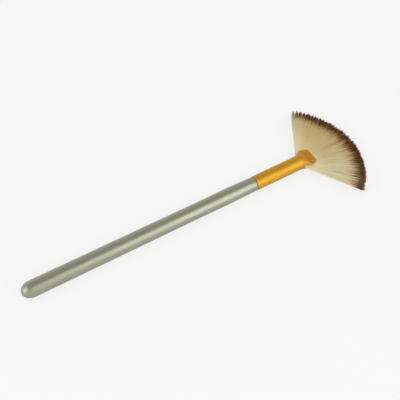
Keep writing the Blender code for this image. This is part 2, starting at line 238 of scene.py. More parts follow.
@dataclass(frozen=True)
class PearlLacquer:
    """Pearl silver lacquer with a greenish cast: fine mica under a satin coat."""

    dark: Rgb = (139, 140, 123)
    light: Rgb = (162, 163, 145)
    metallic: float = 0.85
    coat: float = 0.25
    coat_roughness: float = 0.3
    roughness: Range = (0.37, 0.42)
    flake: float = 0.14 * MM
    flake_share: float = 0.5
    flake_relief: float = 0.4
    cloud: float = 1.6 * MM
    peel: float = 1.1 * MM
    peel_depth: float = 0.004 * MM
    rubbed: float = 9.0 * MM

    def material(self) -> bpy.types.Material:
        """Builds the material.

        Returns:
            The material.
        """
        coat = {"coat_weight": self.coat, "coat_roughness": self.coat_roughness}
        recipe = Recipe("pearl_lacquer", metallic=self.metallic, **coat)
        place = recipe.place()
        mica = recipe.cells(place, 1 / self.flake)
        cloud = recipe.noise(place, 1 / self.cloud, detail=3.0)
        flaked = recipe.reckon("MULTIPLY", mica, self.flake_share)
        clouded = recipe.reckon("MULTIPLY", cloud, 1 - self.flake_share)
        recipe.into("Base Color", recipe.blend(recipe.reckon("ADD", flaked, clouded), self.dark, self.light))
        rubbed = recipe.noise(place, 1 / self.rubbed)
        recipe.into("Roughness", recipe.span(rubbed, *NOISE_SPREAD, *self.roughness))
        peel = recipe.noise(place, 1 / self.peel)
        raised = recipe.reckon("MULTIPLY", mica, self.flake_relief)
        recipe.bump(recipe.reckon("ADD", peel, raised), self.peel_depth)
        return recipe.material


@dataclass(frozen=True)
class BareWood:
    """Unfinished birch, as the tenon inside the ferrule is left."""

    pale: Rgb = (214, 184, 138)
    deep: Rgb = (190, 152, 104)
    roughness: float = 0.7
    ring: float = 0.7 * MM
    ring_spread: Range = (0.35, 0.65)
    along: float = 0.06
    relief: float = 0.02 * MM

    def material(self) -> bpy.types.Material:
        """Builds the material.

        Returns:
            The material.
        """
        recipe = Recipe("bare_wood", roughness=self.roughness)
        grain = recipe.noise(recipe.place((self.along, 1.0, 1.0)), 1 / self.ring, detail=4.0)
        recipe.into("Base Color", recipe.blend(recipe.span(grain, *self.ring_spread), self.pale, self.deep))
        recipe.bump(grain, self.relief)
        return recipe.material


@dataclass(frozen=True)
class AnodisedGold:
    """Aluminium, drawn, pressed and anodised a warm gold, with fine drawing lines along it and painted shade
    along its crease.
    """

    deep: Rgb = (187, 136, 29)
    bright: Rgb = (216, 166, 50)
    pressed: Rgb = (203, 144, 22)
    # painted shade: a darker, redder tone for the band along the crease
    crease_shade: Rgb = (184, 110, 26)
    worn: Rgb = (240, 206, 140)
    coat: float = 0.2
    coat_roughness: float = 0.35
    roughness: Range = (0.53, 0.59)
    line: float = 0.09 * MM
    line_along: float = 0.015
    grain: float = 0.3 * MM
    relief: float = 0.0015 * MM
    pressed_back: Range = (4.5 * MM, 2.0 * MM)
    pressed_share: float = 0.8
    # where the crease's painted shade lies behind the crease, how far it reaches and how strong it is
    crease_shade_back: float = 0.3 * MM
    crease_shade_reach: Range = (1.0 * MM, 0.4 * MM)
    crease_shade_share: float = 0.42
    lip_worn: Range = (0.22 * MM, 0.02 * MM)
    seam_worn: float = 0.14 * MM
    worn_grain: Range = (0.3, 0.6)
    worn_share: Range = (0.1, 0.4)

    def material(self, seam_x: float, crease_x: float, lip_x: float) -> bpy.types.Material:
        """Builds the material.

        Args:
            seam_x: Where the tube's back edge is, in the frame.
            crease_x: Where the pressed crease is.
            lip_x: Where its lips are.

        Returns:
            The material.
        """
        coat = {"coat_weight": self.coat, "coat_roughness": self.coat_roughness}
        recipe = Recipe("gold_anodised", metallic=1.0, **coat)
        lines = recipe.noise(recipe.place((self.line_along, 1.0, 1.0)), 1 / self.line, detail=3.0)
        grain = recipe.noise(recipe.place(), 1 / self.grain, detail=4.0)
        tone = recipe.reckon("MULTIPLY", recipe.reckon("ADD", lines, grain), 0.5)
        gold = recipe.blend(recipe.span(tone, *NOISE_SPREAD), self.deep, self.bright)
        along = recipe.put("SeparateXYZ", {0: recipe.put("TexCoord", {}, output="Object")})
        pressed_from, pressed_to = (crease_x - back for back in self.pressed_back)
        pressed = recipe.span(along, pressed_from, pressed_to, 0.0, self.pressed_share)
        gold = recipe.blend(pressed, gold, self.pressed)
        # Painted shade: a darker, redder band along the crease, where the groove lies in shade.
        off_crease = recipe.reckon("SUBTRACT", along, crease_x - self.crease_shade_back)
        off_crease = recipe.put("Math", {0: off_crease}, operation="ABSOLUTE")
        crease_shade = recipe.span(off_crease, *self.crease_shade_reach, 0.0, self.crease_shade_share)
        gold = recipe.blend(crease_shade, gold, self.crease_shade)
        lip = recipe.span(along, *(lip_x - back for back in self.lip_worn))
        seam = recipe.span(along, seam_x + self.seam_worn, seam_x)
        patchy = recipe.span(grain, *self.worn_grain, *self.worn_share)
        worn = recipe.reckon("MULTIPLY", recipe.reckon("MAXIMUM", lip, seam), patchy)
        recipe.into("Base Color", recipe.blend(worn, gold, self.worn))
        recipe.into("Roughness", recipe.span(tone, *NOISE_SPREAD, *self.roughness))
        recipe.bump(tone, self.relief)
        return recipe.material


@dataclass(frozen=True)
class FanPlace:
    """The sockets that a filament's colour is worked out from.

    Attributes:
        across: The place round the fan, from 0 on the near side to 1 on the far side.
        out: The share of the way out to the rim.
        locks: Noise from lock to lock.
        streaks: Noise of about two streaks to a lock.
        strands: Noise of the single strands.
        clumps: Noise of about three clumps to a lock.
    """

    across: Socket
    out: Socket
    locks: Socket
    streaks: Socket
    strands: Socket
    clumps: Socket


@dataclass(frozen=True)
class Filament:
    """Fine synthetic bristle: cream, dyed dark brown at the tips, each lock a little its own tone.

    It reads the strands' UV map. A side is given as the places round the fan where a change starts and ends,
    and a reach is how far noise moves the edge of the dye, as a share of the way out.
    """

    pale: Rgb = (241, 230, 191)
    # painted shade in a tan tone, past the middle of the fan and outwards
    tan: Rgb = (232, 209, 153)
    grey: Rgb = (232, 226, 195)
    # painted shade on single strands and on clumps
    shaded: Rgb = (196, 170, 120)
    tinted: Rgb = (196, 148, 88)
    brown: Rgb = (122, 78, 44)
    deep_brown: Rgb = (82, 48, 24)
    frayed: Rgb = (168, 116, 68)
    roughness: float = 0.55
    specular: float = 0.15
    counts: tuple[float, ...] = (45.0, 95.0, 420.0, 130.0)  # of locks, streaks, strands and clumps
    shifts: tuple[float, ...] = (0.0, 3.0, 7.0, 11.0)  # of the same, so that no two noises agree
    outward: float = 1.2  # repeats of each noise from root to rim
    # where the painted tan shade rises and falls round the fan and outwards, its least share near the root,
    # and how far it swings at random from lock to lock
    shade_rise: Range = (0.12, 0.62)
    shade_fall: Range = (1.04, 0.82)
    shade_out: Range = (0.2, 0.55)
    shade_least: float = 0.4
    shade_swing: float = 0.15
    grey_side: Range = (0.93, 1.0)
    grey_share: float = 0.8
    # painted shade on single strands, and on clumps further out, with how strong each is
    shaded_strands: Range = (0.55, 0.72)
    shaded_share: float = 0.22
    shade_clumps: Range = (0.5, 0.7)
    shade_clumps_out: Range = (0.56, 0.78)
    shade_clumps_share: float = 0.6
    near_side: Range = (0.22, 0.38)
    near_share: float = 0.45
    calm_side: Range = (0.58, 0.74)
    calm_share: float = 0.3
    late_near: Range = (0.22, 0.02)
    late_near_by: float = 0.035
    late_far: Range = (0.75, 0.95)
    late_far_by: float = 0.05
    lock_reach: float = 0.02
    streak_reach: float = 0.42
    strand_reach: float = 0.38
    long_from: float = 0.6
    long_reach: float = 0.9
    clump_from: float = 0.55
    clump_reach: float = 1.35
    dyed_from: float = 0.84
    dye_edge: float = 0.035
    tinted_edge: float = 0.1
    tinted_share: float = 0.85
    undyed_side: Range = (0.94, 1.0)
    undyed_streaks: Range = (0.4, 0.55)
    undyed_share: Range = (0.4, 0.95)
    brown_spread: Range = (0.35, 0.65)
    frayed_out: Range = (0.93, 1.0)
    frayed_share: float = 0.6

    def streaks(self, recipe: Recipe, count: float, seed: float) -> Socket:
        """Noise that varies round the fan and hardly along the strands.

        Args:
            recipe: The material in the making.
            count: How often it varies from one side of the fan to the other.
            seed: Shifts the pattern.

        Returns:
            The noise, from 0 to 1.
        """
        stretch, shift = (1.0, self.outward / count, 1.0), (seed, 0.0, seed)
        place = recipe.put("Mapping", {"Vector": recipe.uv(), "Scale": stretch, "Location": shift})
        return recipe.noise(place, count)

    def fan_place(self, recipe: Recipe, seed: float) -> FanPlace:
        """Sets out what the colours depend on.

        Args:
            recipe: The material in the making.
            seed: Shifts the noises.

        Returns:
            The sockets.
        """
        across, out = (recipe.put("SeparateXYZ", {0: recipe.uv()}, output=axis) for axis in ("X", "Y"))
        pairs = zip(self.counts, self.shifts)
        return FanPlace(across, out, *(self.streaks(recipe, count, seed + shift) for count, shift in pairs))

    def near(self, recipe: Recipe, fan: FanPlace) -> Socket:
        """How strongly the clumps show: less on the near side."""
        return recipe.span(fan.across, *self.near_side, self.near_share, 1.0)

    def cream(self, recipe: Recipe, fan: FanPlace) -> Socket:
        """The undyed colour: pale, tan past the middle as painted shade, grey at the far side, with painted
        shade on some strands and clumps.

        Args:
            recipe: The material in the making.
            fan: What the colours depend on.

        Returns:
            The colour.
        """
        # Painted shade in tan past the middle and further out, swung at random from lock to lock.
        sides = (recipe.span(fan.across, *side) for side in (self.shade_rise, self.shade_fall))
        tan_shade = recipe.reckon("MULTIPLY", *sides, recipe.span(fan.out, *self.shade_out, self.shade_least, 1.0))
        tan_shade = recipe.reckon("ADD", tan_shade, recipe.swing(fan.locks, self.shade_swing), clamp=True)
        cream = recipe.blend(tan_shade, self.pale, self.tan)
        grey = recipe.span(fan.across, *self.grey_side, 0.0, self.grey_share)
        # Painted shade on single strands and, further out, on clumps, less on the near side.
        shaded = recipe.span(fan.strands, *self.shaded_strands, 0.0, self.shaded_share)
        cream = recipe.blend(shaded, recipe.blend(grey, cream, self.grey), self.shaded)
        clumps = recipe.span(fan.clumps, *self.shade_clumps)
        outer = recipe.span(fan.out, *self.shade_clumps_out, 0.0, self.shade_clumps_share)
        clump_shade = recipe.reckon("MULTIPLY", clumps, outer, self.near(recipe, fan))
        return recipe.blend(clump_shade, cream, self.shaded)

    def reached(self, recipe: Recipe, fan: FanPlace) -> Socket:
        """How far out a point counts for the dye, which each lock, streak, clump and strand takes unevenly.

        Args:
            recipe: The material in the making.
            fan: What the colours depend on.

        Returns:
            The share of the way out, shifted by the noises, and less at both sides of the fan.
        """
        vivid = recipe.span(fan.across, *self.calm_side, 1.0, self.calm_share)
        clumps = recipe.excess(fan.clumps, self.clump_from, self.clump_reach)
        reached = recipe.reckon(
            "ADD",
            fan.out,
            recipe.swing(fan.locks, self.lock_reach),
            recipe.reckon("MULTIPLY", recipe.swing(fan.streaks, self.streak_reach), vivid),
            recipe.excess(fan.strands, self.long_from, self.long_reach),
            recipe.reckon("MULTIPLY", clumps, self.near(recipe, fan), vivid),
            recipe.swing(fan.strands, self.strand_reach),
        )
        late_near = recipe.span(fan.across, *self.late_near, 0.0, self.late_near_by)
        late_far = recipe.span(fan.across, *self.late_far, 0.0, self.late_far_by)
        return recipe.reckon("SUBTRACT", reached, late_near, late_far)

    def material(self, seed: float) -> bpy.types.Material:
        """Builds the material.

        Args:
            seed: Shifts the pattern, so that no two layers of the fan share theirs.

        Returns:
            The material.
        """
        recipe = Recipe(f"filament_{seed:g}", roughness=self.roughness, specular_ior_level=self.specular)
        fan = self.fan_place(recipe, seed)
        reached = self.reached(recipe, fan)
        undyed = recipe.span(fan.streaks, *self.undyed_streaks, *self.undyed_share)
        undyed = recipe.reckon("MULTIPLY", recipe.span(fan.across, *self.undyed_side), undyed)
        taken = recipe.reckon("SUBTRACT", 1.0, undyed)
        start = self.dyed_from
        dyed = recipe.span(reached, start - self.dye_edge, start + self.dye_edge)
        tinted = recipe.span(reached, start - self.tinted_edge, start, 0.0, self.tinted_share)
        dyed, tinted = (recipe.reckon("MULTIPLY", share, taken) for share in (dyed, tinted))
        cream = recipe.blend(tinted, self.cream(recipe, fan), self.tinted)
        brown = recipe.blend(recipe.span(fan.streaks, *self.brown_spread), self.brown, self.deep_brown)
        frayed = recipe.span(fan.out, *self.frayed_out, 0.0, self.frayed_share)
        recipe.into("Base Color", recipe.blend(dyed, cream, recipe.blend(frayed, brown, self.frayed)))
        return recipe.material


@dataclass(frozen=True)
class SetEpoxy:
    """Set adhesive, pale amber and slightly cloudy."""

    clear: Rgb = (222, 206, 160)
    cloudy: Rgb = (204, 184, 138)
    coat: float = 0.4
    roughness: Range = (0.18, 0.32)
    cloud: float = 0.8 * MM

    def material(self) -> bpy.types.Material:
        """Builds the material.

        Returns:
            The material.
        """
        recipe = Recipe("epoxy", coat_weight=self.coat)
        cloud = recipe.noise(recipe.place(), 1 / self.cloud, detail=3.0)
        recipe.into("Base Color", recipe.blend(cloud, self.clear, self.cloudy))
        recipe.into("Roughness", recipe.span(cloud, *NOISE_SPREAD, *self.roughness))
        return recipe.material


@dataclass(frozen=True)
class WaxedThread:
    """Off-white twisted thread, lightly waxed."""

    light: Rgb = (236, 230, 214)
    dark: Rgb = (206, 196, 172)
    roughness: float = 0.75
    sheen: float = 0.2
    twist: float = 0.22 * MM
    lean: float = 0.5
    waves: float = 0.3
    wobble: float = 2.0
    relief: float = 0.03 * MM

    def material(self) -> bpy.types.Material:
        """Builds the material.

        Returns:
            The material.
        """
        recipe = Recipe("tie_thread", roughness=self.roughness, sheen_weight=self.sheen)
        place = recipe.place((1.0, self.lean, self.lean))
        sockets = {"Vector": place, "Scale": self.waves / self.twist, "Distortion": self.wobble}
        plies = recipe.put("TexWave", sockets)
        recipe.into("Base Color", recipe.blend(plies, self.dark, self.light))
        recipe.bump(plies, self.relief)
        return recipe.material


def finish_mesh(
    name: str, bm: bmesh.types.BMesh, materials: Iterable[bpy.types.Material], sharp: float
) -> bpy.types.Object:
    """Turns a bmesh into an object with smooth shading.

    Args:
        name: The object's name.
        bm: The shape, which is freed.
        materials: Its materials, in the order of the faces' indices.
        sharp: The angle in degrees from which an edge stays sharp.

    Returns:
        The object.
    """
    mesh = bpy.data.meshes.new(name)
    bm.to_mesh(mesh)
    bm.free()
    for material in materials:
        mesh.materials.append(material)
    mesh.shade_smooth()
    mesh.set_sharp_from_angle(angle=math.radians(sharp))
    made = bpy.data.objects.new(name, mesh)
    bpy.context.scene.collection.objects.link(made)
    return made


def settle(piece: bpy.types.Object, slot: Slot, *nodes: str) -> bpy.types.Object:
    """Fixes a piece to the brush and hides the CAD nodes that it stands for.

    Args:
        piece: The piece, in place.
        slot: The record's slot that its finish comes from. It is not used.
        *nodes: The CAD nodes that it replaces.

    Returns:
        The piece.
    """
    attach(piece, BODY)
    if nodes:
        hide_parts(*nodes)
    return piece


def spin_outline(outline: Profile, steps: int) -> bmesh.types.BMesh:
    """Turns an outline of (x, radius) points about the X axis to a closed body.

    Args:
        outline: The points, from pole to pole.
        steps: How many steps a full turn has.

    Returns:
        The body.
    """
    bm = bmesh.new()
    verts = [bm.verts.new((x, 0.0, radius)) for x, radius in outline]
    edges = [bm.edges.new(pair) for pair in zip(verts, verts[1:])]
    bmesh.ops.spin(
        bm, geom=[*verts, *edges], cent=(0, 0, 0), axis=(1, 0, 0), angle=math.tau, steps=steps, use_merge=True
    )
    bmesh.ops.remove_doubles(bm, verts=bm.verts, dist=TINY)
    bmesh.ops.recalc_face_normals(bm, faces=bm.faces)
    return bm


@dataclass
class BrushAxis:
    """Where the brush's own axis lies in the frame, and the places along it that pieces share."""

    butt: float = field(default_factory=lambda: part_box("handle")[0].x)
    seam: float = field(default_factory=lambda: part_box("ferrule")[0].x)
    lip: float = field(default_factory=lambda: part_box("ferrule")[1].x)
    height: float = field(default_factory=lambda: 0.5 * (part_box("ferrule")[0].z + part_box("ferrule")[1].z))

    def shift(self, start: float) -> Matrix:
        """The move that sets a piece built from x = 0 on the axis at start."""
        return Matrix.Translation((start, 0.0, self.height))


@dataclass
class Handle:
    """The turned handle: a domed butt, a slim body with a faint belly, a neck, and the hidden tenon."""

    axis: BrushAxis
    length: float = 122.1 * MM
    butt_radius: float = 3.95 * MM
    dome: float = 5.0 * MM
    waist_radius: float = 3.71 * MM
    waist_to_seam: float = 28.0 * MM
    belly_radius: float = 3.78 * MM
    belly_to_seam: float = 18.0 * MM
    neck_radius: float = 3.48 * MM
    neck_curve: float = 2.4
    shoulder: float = 0.14 * MM
    tenon_radius: float = 3.04 * MM
    tenon_chamfer: float = 0.5 * MM
    steps: int = 96
    dome_steps: int = 16
    body_steps: int = 60
    shoulder_steps: int = 4
    sharp: float = 40.0

    def radius(self, x: float) -> float:
        """Works out the radius of the body between its dome and the seam.

        Args:
            x: The place along the handle.

        Returns:
            The radius there.
        """
        waist, belly = self.length - self.waist_to_seam, self.length - self.belly_to_seam
        if x <= waist:
            return between(self.butt_radius, self.waist_radius, (x - self.dome) / (waist - self.dome))
        if x <= belly:
            share = 0.5 - 0.5 * math.cos(math.pi * (x - waist) / (belly - waist))
            return between(self.waist_radius, self.belly_radius, share)
        share = (x - belly) / (self.length - belly)
        return between(self.belly_radius, self.neck_radius, share**self.neck_curve)

    def outline(self) -> Profile:
        """Draws the handle's outline.

        Returns:
            The points from the pole of its dome to the end of its tenon.
        """
        turns = [0.5 * math.pi * k / self.dome_steps for k in range(self.dome_steps + 1)]
        points = [(self.dome * (1 - math.cos(a)), self.butt_radius * math.sin(a)) for a in turns]
        last = self.length - self.shoulder
        places = np.linspace(self.dome, last, self.body_steps + 1)[1:].tolist()
        points += [(x, self.radius(x)) for x in places]
        for k in range(1, self.shoulder_steps + 1):
            a = 0.5 * math.pi * k / self.shoulder_steps
            drop = self.shoulder * (1 - math.cos(a))
            points.append((last + self.shoulder * math.sin(a), self.neck_radius - drop))
        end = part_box("handle")[1].x - self.axis.butt
        points += [
            (self.length, self.tenon_radius),
            (end - self.tenon_chamfer, self.tenon_radius),
            (end, self.tenon_radius - self.tenon_chamfer),
            (end, 0.0),
        ]
        return points

    def build(self) -> list[bpy.types.Object]:
        """Builds the handle, lacquered up to its shoulder and bare on its tenon.

        Returns:
            The handle.
        """
        bm = spin_outline(self.outline(), self.steps)
        for face in bm.faces:
            face.material_index = int(face.calc_center_median().x > self.length - TINY)
        bm.transform(self.axis.shift(self.axis.butt))
        finishes = (PearlLacquer().material(), BareWood().material())
        made = finish_mesh("handle_turned", bm, finishes, self.sharp)
        return [settle(made, Slot.LACQUER, "handle")]


@dataclass
class Ferrule:
    """The drawn tube, slit on both sides of its mouth and pressed to a flat duckbill."""

    axis: BrushAxis
    radius: float = 3.65 * MM
    wall: float = 0.35 * MM
    ramp: float = 5.9 * MM
    ramp_end_height: float = 1.5 * MM
    crease: float = 0.3 * MM
    land: float = 2.7 * MM
    land_height: float = 1.25 * MM
    jaw_width: float = 5.3 * MM
    spread_to_lip: Range = (7.9 * MM, 4.0 * MM)  # where the sides start and stop widening
    press: float = 2.0  # the power that keeps the top high to start with
    fold: float = 2.2 * MM  # the stretch over which the section turns from round to flat
    land_corner: float = 0.4 * MM
    least_corner: float = 0.1 * MM
    groove_depth: float = 0.1 * MM
    groove_width: float = 1.1 * MM
    lip_width: float = 3.75 * MM
    slot_height: float = 0.95 * MM
    gape_height: float = 1.6 * MM
    gape_reach: float = 1.7 * MM
    gape_to_lip: float = 5.0 * MM  # the middle of the wide rear of the slot
    cuts: tuple[Range, ...] = ((4.0 * MM, 5.3 * MM), (2.6 * MM, 4.9 * MM), (1.2 * MM, 4.6 * MM))
    cut_beyond: float = 1.0 * MM
    edge: float = 0.06 * MM
    edge_segments: int = 2
    sharp: float = 35.0
    cut_sharp: float = 40.0
    steps: int = 96
    oval_steps: int = 32
    back_ring: float = 0.6 * MM
    ramp_lead: float = 0.4 * MM
    rings: tuple[int, int, int] = (24, 14, 5)  # along the ramp, the groove and the land
    length: float = field(init=False)

    def __post_init__(self) -> None:
        """Takes the tube's length from the frame."""
        self.length = self.axis.lip - self.axis.seam

    def section(self, x: float, angle: float, inset: float) -> Vector:
        """A point of the tube's outer or inner face.

        Args:
            x: The place along the tube, from its back edge.
            angle: The turn round it, from +Y towards +Z.
            inset: How far inside the outer face it is.

        Returns:
            The point, from the axis at the tube's back edge.
        """
        land = self.length - self.land
        crease = land - self.crease
        pressed = ease((x - crease + self.ramp) / self.ramp)
        spread_from, spread_to = (self.length - back for back in self.spread_to_lip)
        spread = ease((x - spread_from) / (spread_to - spread_from))
        width = between(self.radius, self.jaw_width, spread)
        height = between(self.radius, self.ramp_end_height, pressed**self.press)
        folded = ease((x - crease + self.fold) / self.fold)
        corner = between(height, self.land_corner, folded)
        height += (self.land_height - self.ramp_end_height) * ease((x - crease) / self.crease)
        height -= self.groove_depth * max(0.0, 1 - abs(x - crease) / (0.5 * self.groove_width))
        corner = max(corner - inset, self.least_corner)
        cos, sin = math.cos(angle), math.sin(angle)
        y = math.copysign(width - inset - corner, cos) + corner * cos
        z = math.copysign(height - inset - corner, sin) + corner * sin
        return Vector((x, y, z))

    def shell(self) -> bmesh.types.BMesh:
        """Builds the tube with its wall: a flat loop spun to two cylinders, each pressed to its sections.

        Returns:
            The tube, with its mouth still whole.
        """
        crease = self.length - self.land - self.crease
        ramp = crease - self.ramp
        groove = 0.5 * self.groove_width
        places = [0.0, self.back_ring, 0.5 * ramp, ramp - self.ramp_lead, ramp]
        stops = (ramp, crease - groove, crease + groove, self.length)
        for start, end, count in zip(stops, stops[1:], self.rings):
            places += np.linspace(start, end, count + 1)[1:].tolist()
        half_step, outer, inner = math.pi / self.steps, 1.0, 0.5
        loop = [(x, outer) for x in places] + [(x, inner) for x in reversed(places)]
        bm = bmesh.new()
        verts = [bm.verts.new((x, r * math.cos(half_step), r * math.sin(half_step))) for x, r in loop]
        edges = [bm.edges.new(pair) for pair in zip(verts, [*verts[1:], verts[0]])]
        bmesh.ops.spin(
            bm,
            geom=[*verts, *edges],
            cent=(0, 0, 0),
            axis=(1, 0, 0),
            angle=math.tau,
            steps=self.steps,
            use_merge=True,
        )
        for vert in bm.verts:
            inset = self.wall if math.hypot(vert.co.y, vert.co.z) < 0.5 * (outer + inner) else 0.0
            vert.co = self.section(vert.co.x, math.atan2(vert.co.z, vert.co.y), inset)
        bmesh.ops.recalc_face_normals(bm, faces=bm.faces)
        return bm

    def side_cutter(self, name: str, reach: float, height: float, drawn: float) -> bpy.types.Object:
        """Makes a bar with an oval section that lies across the tube and cuts both sides of its mouth.

        Args:
            name: The body's name.
            reach: Half the oval's length.
            height: Half its height.
            drawn: How far its front half is drawn forwards.

        Returns:
            The body.
        """
        side = 2 * self.jaw_width
        bm = bmesh.new()
        upright = Matrix.Rotation(0.5 * math.pi, 4, "X")
        bmesh.ops.create_circle(bm, cap_ends=True, segments=self.oval_steps, radius=1.0, matrix=upright)
        bmesh.ops.scale(bm, verts=bm.verts, vec=(reach, 1, height))
        front = [v for v in bm.verts if v.co.x > TINY]
        bmesh.ops.translate(bm, verts=front, vec=(drawn, 0, 0))
        bmesh.ops.translate(bm, verts=bm.verts, vec=(self.length - self.gape_to_lip, -side, 0))
        moved = bmesh.ops.extrude_face_region(bm, geom=bm.faces[:])["geom"]
        across = [v for v in moved if isinstance(v, bmesh.types.BMVert)]
        bmesh.ops.translate(bm, verts=across, vec=(0, 2 * side, 0))
        bmesh.ops.recalc_face_normals(bm, faces=bm.faces)
        return finish_mesh(name, bm, (), self.sharp)

    def corner_cutter(self) -> bpy.types.Object:
        """Makes the two prisms that round off the lips' corners in a few slants.

        Returns:
            The prisms, as one object.
        """
        last_back, last_width = self.cuts[-1]
        reach, end = 2 * self.jaw_width, self.length + self.cut_beyond
        past_lip = self.lip_width - (last_width - self.lip_width) / last_back * self.cut_beyond
        outline = [(self.length - back, width) for back, width in self.cuts]
        outline += [(end, past_lip), (end, reach), (outline[0][0], reach)]
        bm = bmesh.new()
        for side in (-1, 1):
            face = bm.faces.new([bm.verts.new((x, side * y, -reach)) for x, y in outline])
            moved = bmesh.ops.extrude_face_region(bm, geom=[face])["geom"]
            risen = [v for v in moved if isinstance(v, bmesh.types.BMVert)]
            bmesh.ops.translate(bm, verts=risen, vec=(0, 0, 2 * reach))
        bmesh.ops.recalc_face_normals(bm, faces=bm.faces)
        return finish_mesh("corner_cutter", bm, (), self.sharp)

    def build(self) -> list[bpy.types.Object]:
        """Builds the tube, cuts its mouth and softens its edges.

        Returns:
            The ferrule.
        """
        gold = AnodisedGold().material(self.axis.seam, self.axis.lip - self.land - self.crease, self.axis.lip)
        made = finish_mesh("ferrule_pressed", self.shell(), (gold,), self.cut_sharp)
        cutters = [
            self.side_cutter("gape_cutter", self.gape_reach, self.gape_height, 0.0),
            self.side_cutter("slot_cutter", self.slot_height, self.slot_height, self.length),
            self.corner_cutter(),
        ]
        for tool in cutters:
            cut = made.modifiers.new(tool.name, "BOOLEAN")
            cut.operation, cut.solver, cut.object = "DIFFERENCE", "EXACT", tool
        soften = made.modifiers.new("edge", "BEVEL")
        soften.width, soften.segments = self.edge, self.edge_segments
        soften.limit_method, soften.angle_limit = "ANGLE", math.radians(self.cut_sharp)
        cut_mesh = bpy.data.meshes.new_from_object(made.evaluated_get(bpy.context.evaluated_depsgraph_get()))
        made.modifiers.clear()
        made.data = cut_mesh
        for tool in cutters:
            bpy.data.objects.remove(tool)
        made.data.transform(self.axis.shift(self.axis.seam))
        made.data.shade_smooth()
        made.data.set_sharp_from_angle(angle=math.radians(self.sharp))
        return [settle(made, Slot.GOLD, "ferrule")]


@dataclass
class Course:
    """The stations that every strand of one layer passes, from its root to its tip."""

    count: int
    points: list[np.ndarray] = field(default_factory=list)
    thickness: list[np.ndarray] = field(default_factory=list)
    out: list[np.ndarray] = field(default_factory=list)

    def add(
        self, x: np.ndarray | float, y: np.ndarray, z: np.ndarray, thickness: float, out: np.ndarray | float
    ) -> None:
        """Adds one station.

        Args:
            x: How far each strand is in front of the lips there.
            y: How far it is to the side.
            z: How far it is above the axis.
            thickness: How thick the strands are there.
            out: Their share of the way out there, for the UV map.
        """
        self.points.append(np.stack(np.broadcast_arrays(x, y, z), 1).astype(float))
        self.thickness.append(np.full(self.count, thickness))
        self.out.append(np.broadcast_to(out, (self.count,)).astype(float))


@dataclass
class Strands:
    """One layer's strands, with one value of each kind for each strand.

    Attributes:
        across: The place round the fan, from -1 on the near side to 1 on the far side.
        angle: The same as an angle from the brush's axis.
        level: The place in the tuft's thickness, from -1 at the bottom to 1 at the top.
        middle: The angle of the middle of the strand's lock.
        pull: The share by which the tip is gathered to that middle.
        reach: How far the tip is from the fan's centre.
        stray: The angle by which the tip strays.
        lift: The level by which the tip strays.
        spot: The place round the fan for the UV map, from 0 to 1.
    """

    across: np.ndarray
    angle: np.ndarray
    level: np.ndarray
    middle: np.ndarray
    pull: np.ndarray
    reach: np.ndarray
    stray: np.ndarray
    lift: np.ndarray
    spot: np.ndarray


